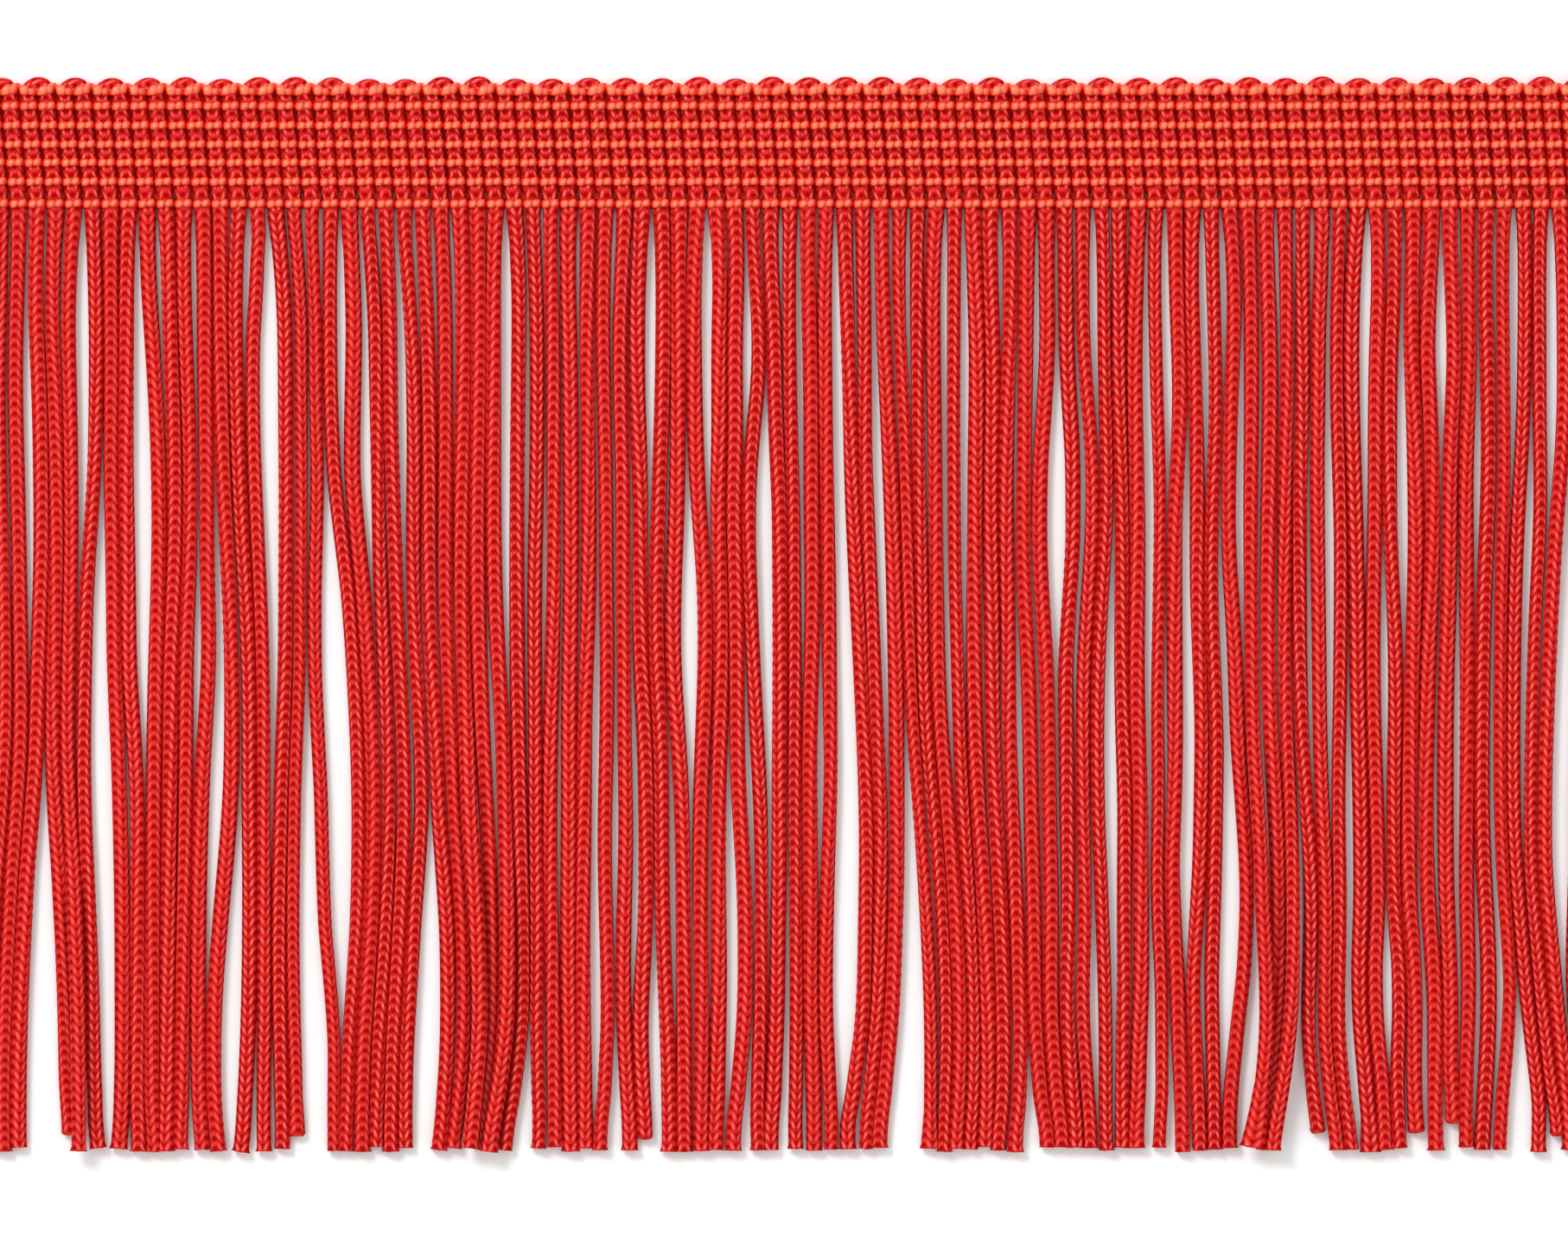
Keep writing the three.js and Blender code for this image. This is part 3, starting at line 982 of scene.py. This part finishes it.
def lobe_pair(name, sizes, stations):
    """The binding thread over one or two cords, with a dip to the next cord."""
    piece = ring_along_x(name, LOBE_SIDES, MM / 2)
    mark(piece, lambda point: True)
    bpy.ops.transform.translate(value=(stations[0].at * MM, 0, 0))
    for before, after in zip(stations, stations[1:]):
        draw_out((after.at - before.at) * MM)
    for station in stations:
        at = station.at * MM
        mark(piece, lambda point: abs(point.x - at) < NEAR)
        bpy.ops.transform.resize(
            value=(1, station.tall * sizes.tall / MM, station.thick * sizes.thick / MM),
            center_override=(at, 0, 0),
        )
        bpy.ops.transform.translate(value=(0, station.up * MM, station.rise * MM))
    edge = (stations[-1].at - SLANT_FROM) * MM
    for side in (-1, 1):
        mark(piece, lambda point: point.y * side > SLANT_FROM * MM and abs(point.x) < edge)
        bpy.ops.transform.translate(value=(side * LOBE_SLANT * MM, 0, 0))
    leave_edit()
    return piece


def close_row(piece, start):
    """Moves a repeated row to its place along the heading and closes its two ends."""
    take(piece)
    piece.location.x = start * MM
    bpy.ops.object.transform_apply(location=True, rotation=False, scale=False)
    for side in (-1, 1):
        edge = side * LENGTH / 2 * MM
        mark(piece, lambda point: abs(point.x - edge) < NEAR)
        bpy.ops.mesh.edge_face_add()
    leave_edit()


class FRINGE_OT_binding_rows(bpy.types.Operator):
    """Shapes the binding thread over one cord and repeats it along every row"""

    bl_idname = "fringe.binding_rows"
    bl_label = "Binding Rows"

    def execute(self, context):
        sizes = context.scene.fringe_binding
        finish = thread_finish(context.scene.fringe_colours)
        face = lobe_pair("pattern_face", sizes, LOBES)
        repeat_along(face, STRANDS, PITCH * MM)
        close_row(face, home(0))
        first = lobe_pair("pattern_first_row", sizes, FIRST_ROW)
        repeat_along(first, STRANDS // 2, 2 * PITCH * MM)
        close_row(first, home(0) + PITCH / 2)
        back = lobe_pair("pattern_back", sizes, BACK_LOBES)
        repeat_along(back, STRANDS, PITCH * MM)
        close_row(back, home(0))
        for row, down in enumerate(ROWS_DOWN):
            front = copy_of(face if row else first, "front")
            take(front)
            mark(front, lambda point: True)
            bpy.ops.transform.vertex_random(offset=THREAD_UNEVEN * MM, seed=row + 1)
            leave_edit()
            front.location.z = sizes.height
            behind = copy_of(back, "behind")
            behind.location.z = BACK_HEIGHT * MM
            behind.scale = (BACK_LONG, BACK_COVERS[row] * MM / sizes.tall, 1)
            take(front, behind)
            bpy.ops.object.transform_apply(location=True, rotation=False, scale=True)
            piece = joined([front, behind], f"binding_thread_{row + 1}")
            piece.location = (lean_at(down) * MM, (DEPTH / 2 - down) * MM, 0)
            bpy.ops.object.transform_apply(location=True, rotation=False, scale=False)
            dress(piece, finish, f"binding_row_{row + 1}")
        throw_away(face, first, back)
        return {"FINISHED"}


# Finishes

class Value:
    """One socket of a finish's nodes. Python's arithmetic on it adds Math nodes."""

    def __init__(self, finish, socket):
        self.finish = finish
        self.socket = socket

    def maths(self, operation, *others):
        return self.finish.node("ShaderNodeMath", {"operation": operation}, dict(enumerate((self, *others))))

    def __add__(self, other):
        return self.maths("ADD", other)

    def __radd__(self, other):
        return self.maths("ADD", other)

    def __mul__(self, other):
        return self.maths("MULTIPLY", other)

    def __rmul__(self, other):
        return self.maths("MULTIPLY", other)

    def __sub__(self, other):
        return self.maths("SUBTRACT", other)

    def __rsub__(self, other):
        return self * -1 + other

    def __truediv__(self, other):
        return self.maths("DIVIDE", other)

    def __pow__(self, other):
        return self.maths("POWER", other)

    def __abs__(self):
        return self.maths("ABSOLUTE")

    def fraction(self):
        return self.maths("FRACT")

    def larger(self, other):
        return self.maths("MAXIMUM", other)

    def sine(self):
        return self.maths("SINE")

    def eased(self, start, end):
        """0 before start and 1 after end, with a smooth step between."""
        settings = {"interpolation_type": "SMOOTHSTEP"}
        return self.finish.node(
            "ShaderNodeMapRange", settings, {"Value": self, "From Min": start, "From Max": end},
        )


class Finish:
    """A procedural material and the nodes in it."""

    def __init__(self, name):
        self.material = bpy.data.materials.new(name)
        self.material.use_nodes = True
        self.tree = self.material.node_tree
        self.tree.nodes.clear()

    def node(self, kind, settings, sockets, output=0):
        """Adds a node: its settings first, then the values or links of its sockets."""
        made = self.tree.nodes.new(kind)
        for name, value in settings.items():
            setattr(made, name, value)
        for name, value in sockets.items():
            if isinstance(value, Value):
                self.tree.links.new(value.socket, made.inputs[name])
            else:
                made.inputs[name].default_value = value
        return Value(self, made.outputs[output]) if made.outputs else None

    def mixed(self, share, first, second):
        """Mixes two colours."""
        colours = [value if isinstance(value, Value) else (*value, 1) for value in (first, second)]
        settings = {"data_type": "RGBA", "clamp_factor": True}
        return self.node("ShaderNodeMix", settings, {0: share, 6: colours[0], 7: colours[1]}, output=2)

    def noise(self, place, scale, detail=2.0, roughness=0.5):
        return self.node(
            "ShaderNodeTexNoise", {"noise_dimensions": "3D"},
            {"Vector": place, "Scale": scale, "Detail": detail, "Roughness": roughness},
        )

    def parts(self, vector):
        """The X, Y and Z of a vector."""
        first = self.node("ShaderNodeSeparateXYZ", {}, {0: vector})
        return [Value(self, socket) for socket in first.socket.node.outputs]

    def surface(self, sockets):
        shader = self.node("ShaderNodeBsdfPrincipled", {}, sockets)
        self.node("ShaderNodeOutputMaterial", {}, {"Surface": shader})
        return self.material


# The legs and bars of a stitch, as shares of the way from a wale's middle to the next, and of a stitch
LEG_SLANT = 1.0
LEG_MIDDLE = 0.45
LEG_HALF = 0.52
LEG_LONG = 1.12
BAR_AT = 0.3
BAR_HALF = 0.42
BAR_LONG = 0.62
BAR_HIGH = 0.85
PLUMP = 0.7
# Between which heights the thread's painted shade fades out, and the painted highlights on the cord and on
# the thread fade in
CORD_HIGHLIGHT_HEIGHTS = Range(0.80, 1.18)
THREAD_SHADE_HEIGHTS = Range(0.85, 1.5)
THREAD_HIGHLIGHT_HEIGHTS = Range(1.36, 1.6)
# How far below the scallops' tops the thread in their valleys starts to shine, and shines fully
VALLEY = Range(0.45, 0.75)
PLY = 0.16
PLY_SLANT = 0.4
FLOOR_GRAIN = 0.985


def stitch_relief(finish):
    """The height of the stitches, from 0 in the holes to 1 on top of the legs."""
    place = finish.node("ShaderNodeUVMap", {"uv_map": "stitches"}, {})
    around, along = finish.parts(place)[:2]
    out = abs((around * WALES + 0.5).fraction() - 0.5) * 2
    leg_along = ((along + out * LEG_SLANT).fraction() * 2 - 1) / LEG_LONG
    leg_across = (out - LEG_MIDDLE) / LEG_HALF
    leg = (1 - leg_along ** 2 - leg_across ** 2).larger(0) ** PLUMP
    bar_along = ((along + BAR_AT - 0.5).fraction() * 2 - 1) / BAR_LONG
    bar_across = (1 - out) / BAR_HALF
    bar = (1 - bar_along ** 2 - bar_across ** 2).larger(0) ** PLUMP
    return leg.larger(bar * BAR_HIGH)


def cord_finish(colours):
    """Satin red knitted cord: painted shade in dark red inside its stitches, a darker tone at random, and a
    painted highlight on the stitches on top.
    """
    made = bpy.data.materials.get("knitted_cord")
    if made:
        return made
    finish = Finish("knitted_cord")
    relief = stitch_relief(finish)
    spot = finish.node("ShaderNodeTexCoord", {}, {}, output=3)
    lit_top = finish.parts(spot)[2].eased(CORD_HIGHLIGHT_HEIGHTS.least * MM, CORD_HIGHLIGHT_HEIGHTS.most * MM)
    tone = finish.node("ShaderNodeAttribute", {"attribute_name": "cord_tone"}, {}, output=2)
    patches = finish.noise(spot, 900, detail=2)
    fibres = finish.noise(spot, 9000, detail=3, roughness=0.6)
    # Painted shade: the cord turns to its dark colour in the stitch holes, where shade falls
    colour = finish.mixed(relief.eased(0.0, 0.4), colours.cord_dark_tone_and_shade, colours.cord)
    # A darker tone at random, by strand and in patches: the cord's own colour
    shade = tone.eased(0.4, 1.0) * 0.3 + patches.eased(0.5, 0.9) * 0.2
    colour = finish.mixed(shade, colour, colours.cord_dark_tone_and_shade)
    # Painted highlight: pale pink on the stitch crests near the cord's top, standing in for the satin's sheen
    light = relief.eased(0.72, 0.98) * lit_top * (0.35 + patches * 0.6) * (0.6 + tone * 0.8)
    colour = finish.mixed(light, colour, colours.cord_painted_highlight)
    height = relief + fibres * 0.12
    bump = finish.node(
        "ShaderNodeBump", {}, {"Strength": 0.9, "Distance": 0.13 * MM, "Height": height},
    )
    return finish.surface({
        "Base Color": colour, "Roughness": 0.5 + patches * 0.16, "Normal": bump,
        "Coat Weight": relief.eased(0.5, 1.0) * 0.45, "Coat Roughness": 0.24,
        "Specular IOR Level": 0.0,
    })


def thread_finish(colours):
    """Glossy orange-red binding thread, with painted highlights on its tops and in the scallops' valleys, and
    painted shade low down.
    """
    finish = Finish("binding_thread")
    spot = finish.node("ShaderNodeTexCoord", {}, {}, output=3)
    x, y, z = finish.parts(spot)
    # Painted shade: the thread turns darker the lower it lies, in the dips between lobes and behind the cords
    deep = 1 - z.eased(THREAD_SHADE_HEIGHTS.least * MM, THREAD_SHADE_HEIGHTS.most * MM)
    patches = finish.noise(spot, 1400, detail=2)
    fibres = finish.noise(spot, 7000, detail=3)
    # Painted highlight: pale orange on the lobes' tops, in patches, and on the thread in the valleys between
    # the scallops
    top = z.eased(THREAD_HIGHLIGHT_HEIGHTS.least * MM, THREAD_HIGHLIGHT_HEIGHTS.most * MM)
    valley = y.eased((DEPTH / 2 - VALLEY.most) * MM, (DEPTH / 2 - VALLEY.least) * MM)
    pale = (top * (0.35 + patches)).larger(valley)
    colour = finish.mixed(pale, colours.thread, colours.thread_painted_highlight)
    colour = finish.mixed(deep, colour, colours.thread_painted_shade)
    colour = finish.mixed(patches.eased(0.45, 0.8) * 0.5, colour, colours.cord)
    plies = ((x - y * PLY_SLANT) * (math.tau / (PLY * MM))).sine()
    height = plies * 0.3 + fibres * 0.8
    bump = finish.node(
        "ShaderNodeBump", {}, {"Strength": 0.7, "Distance": 0.07 * MM, "Height": height},
    )
    return finish.surface({
        "Base Color": colour, "Roughness": 0.3 + patches * 0.15, "Normal": bump,
        "Specular IOR Level": 0.0, "Coat Weight": 1 - deep, "Coat Roughness": 0.28,
    })


def floor_finish(colours):
    """Plain pale surface with hardly any grain."""
    finish = Finish("pale_floor")
    spot = finish.node("ShaderNodeTexCoord", {}, {}, output=3)
    grain = finish.noise(spot, 14, detail=3)
    darker = tuple(part * FLOOR_GRAIN for part in colours.floor)
    colour = finish.mixed(grain, darker, colours.floor)
    return finish.surface({"Base Color": colour, "Roughness": 0.85, "Specular IOR Level": 0.2})


# The stage

Lamp = namedtuple("Lamp", "name place size power")
LAMPS = [Lamp("left_window", (-0.55, 0.60, 0.85), 0.4, 8.0)]
SKY_STRENGTH = 0.96
CAMERA_OVER = (-0.87, -0.24)
FLOOR_BELOW = 0.02
SENSOR = 36
FAR = 20


class FRINGE_OT_stage(bpy.types.Operator):
    """Sets the pale floor, the soft lamps and the camera straight above the fringe"""

    bl_idname = "fringe.stage"
    bl_label = "Floor, Lamps and Camera"

    def execute(self, context):
        sizes = context.scene.fringe_stage
        bpy.ops.object.select_all(action="DESELECT")
        bpy.ops.mesh.primitive_plane_add(size=sizes.floor_width, location=(0, 0, -FLOOR_BELOW * MM))
        floor = bpy.context.active_object
        floor.name = "floor"
        bpy.ops.object.transform_apply(location=True, rotation=False, scale=False)
        floor.data.materials.append(floor_finish(context.scene.fringe_colours))
        for lamp in LAMPS:
            self.add_lamp(lamp)
        self.add_camera(context, sizes)
        self.light_world(context)
        return {"FINISHED"}

    def add_lamp(self, lamp):
        bpy.ops.object.light_add(type="AREA", location=lamp.place)
        light = bpy.context.active_object
        light.name = lamp.name
        light.data.size = lamp.size
        light.data.energy = lamp.power
        light.rotation_euler = (-Vector(lamp.place)).to_track_quat("-Z", "Y").to_euler()

    def add_camera(self, context, sizes):
        x, y = (place * MM for place in CAMERA_OVER)
        bpy.ops.object.camera_add(location=(x, y, sizes.camera_height))
        camera = bpy.context.active_object
        camera.name = "camera"
        camera.data.sensor_width = SENSOR
        camera.data.lens = SENSOR * sizes.camera_height / sizes.view_width
        camera.data.clip_end = FAR
        context.scene.camera = camera

    def light_world(self, context):
        world = bpy.data.worlds.new("soft_room")
        world.use_nodes = True
        sky = world.node_tree.nodes["Background"]
        sky.inputs["Color"].default_value = (1, 1, 1, 1)
        sky.inputs["Strength"].default_value = SKY_STRENGTH
        context.scene.world = world
        context.scene.view_settings.view_transform = "Standard"
        context.scene.view_settings.look = "None"


class FRINGE_PT_sidebar(bpy.types.Panel):
    """Lists the steps that make the fringe, and the sizes and colours that they use"""

    bl_label = "Chainette Fringe"
    bl_idname = "FRINGE_PT_sidebar"
    bl_space_type = "VIEW_3D"
    bl_region_type = "UI"
    bl_category = "Fringe"

    def draw(self, context):
        layout = self.layout
        for operator in STEPS:
            layout.operator(operator.bl_idname)
        for group in GROUPS:
            box = layout.box()
            for name in GROUPS[group].__annotations__:
                box.prop(getattr(context.scene, group), name)


STEPS = [FRINGE_OT_heading_cords, FRINGE_OT_free_strands, FRINGE_OT_binding_rows, FRINGE_OT_stage]
GROUPS = {
    "fringe_cord": FringeCordSizes,
    "fringe_binding": FringeBindingSizes,
    "fringe_colours": FringeColours,
    "fringe_stage": FringeStageSizes,
}


def register():
    for part in (*GROUPS.values(), *STEPS, FRINGE_PT_sidebar):
        bpy.utils.register_class(part)
    for name, group in GROUPS.items():
        setattr(bpy.types.Scene, name, bpy.props.PointerProperty(type=group))


def unregister():
    for name in GROUPS:
        delattr(bpy.types.Scene, name)
    for part in (FRINGE_PT_sidebar, *reversed(STEPS), *GROUPS.values()):
        bpy.utils.unregister_class(part)


def main():
    """Makes every piece in order."""
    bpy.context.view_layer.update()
    register()
    bpy.ops.fringe.heading_cords()
    bpy.ops.fringe.free_strands()
    bpy.ops.fringe.binding_rows()
    bpy.ops.fringe.stage()


if __name__ == "__main__":
    main()
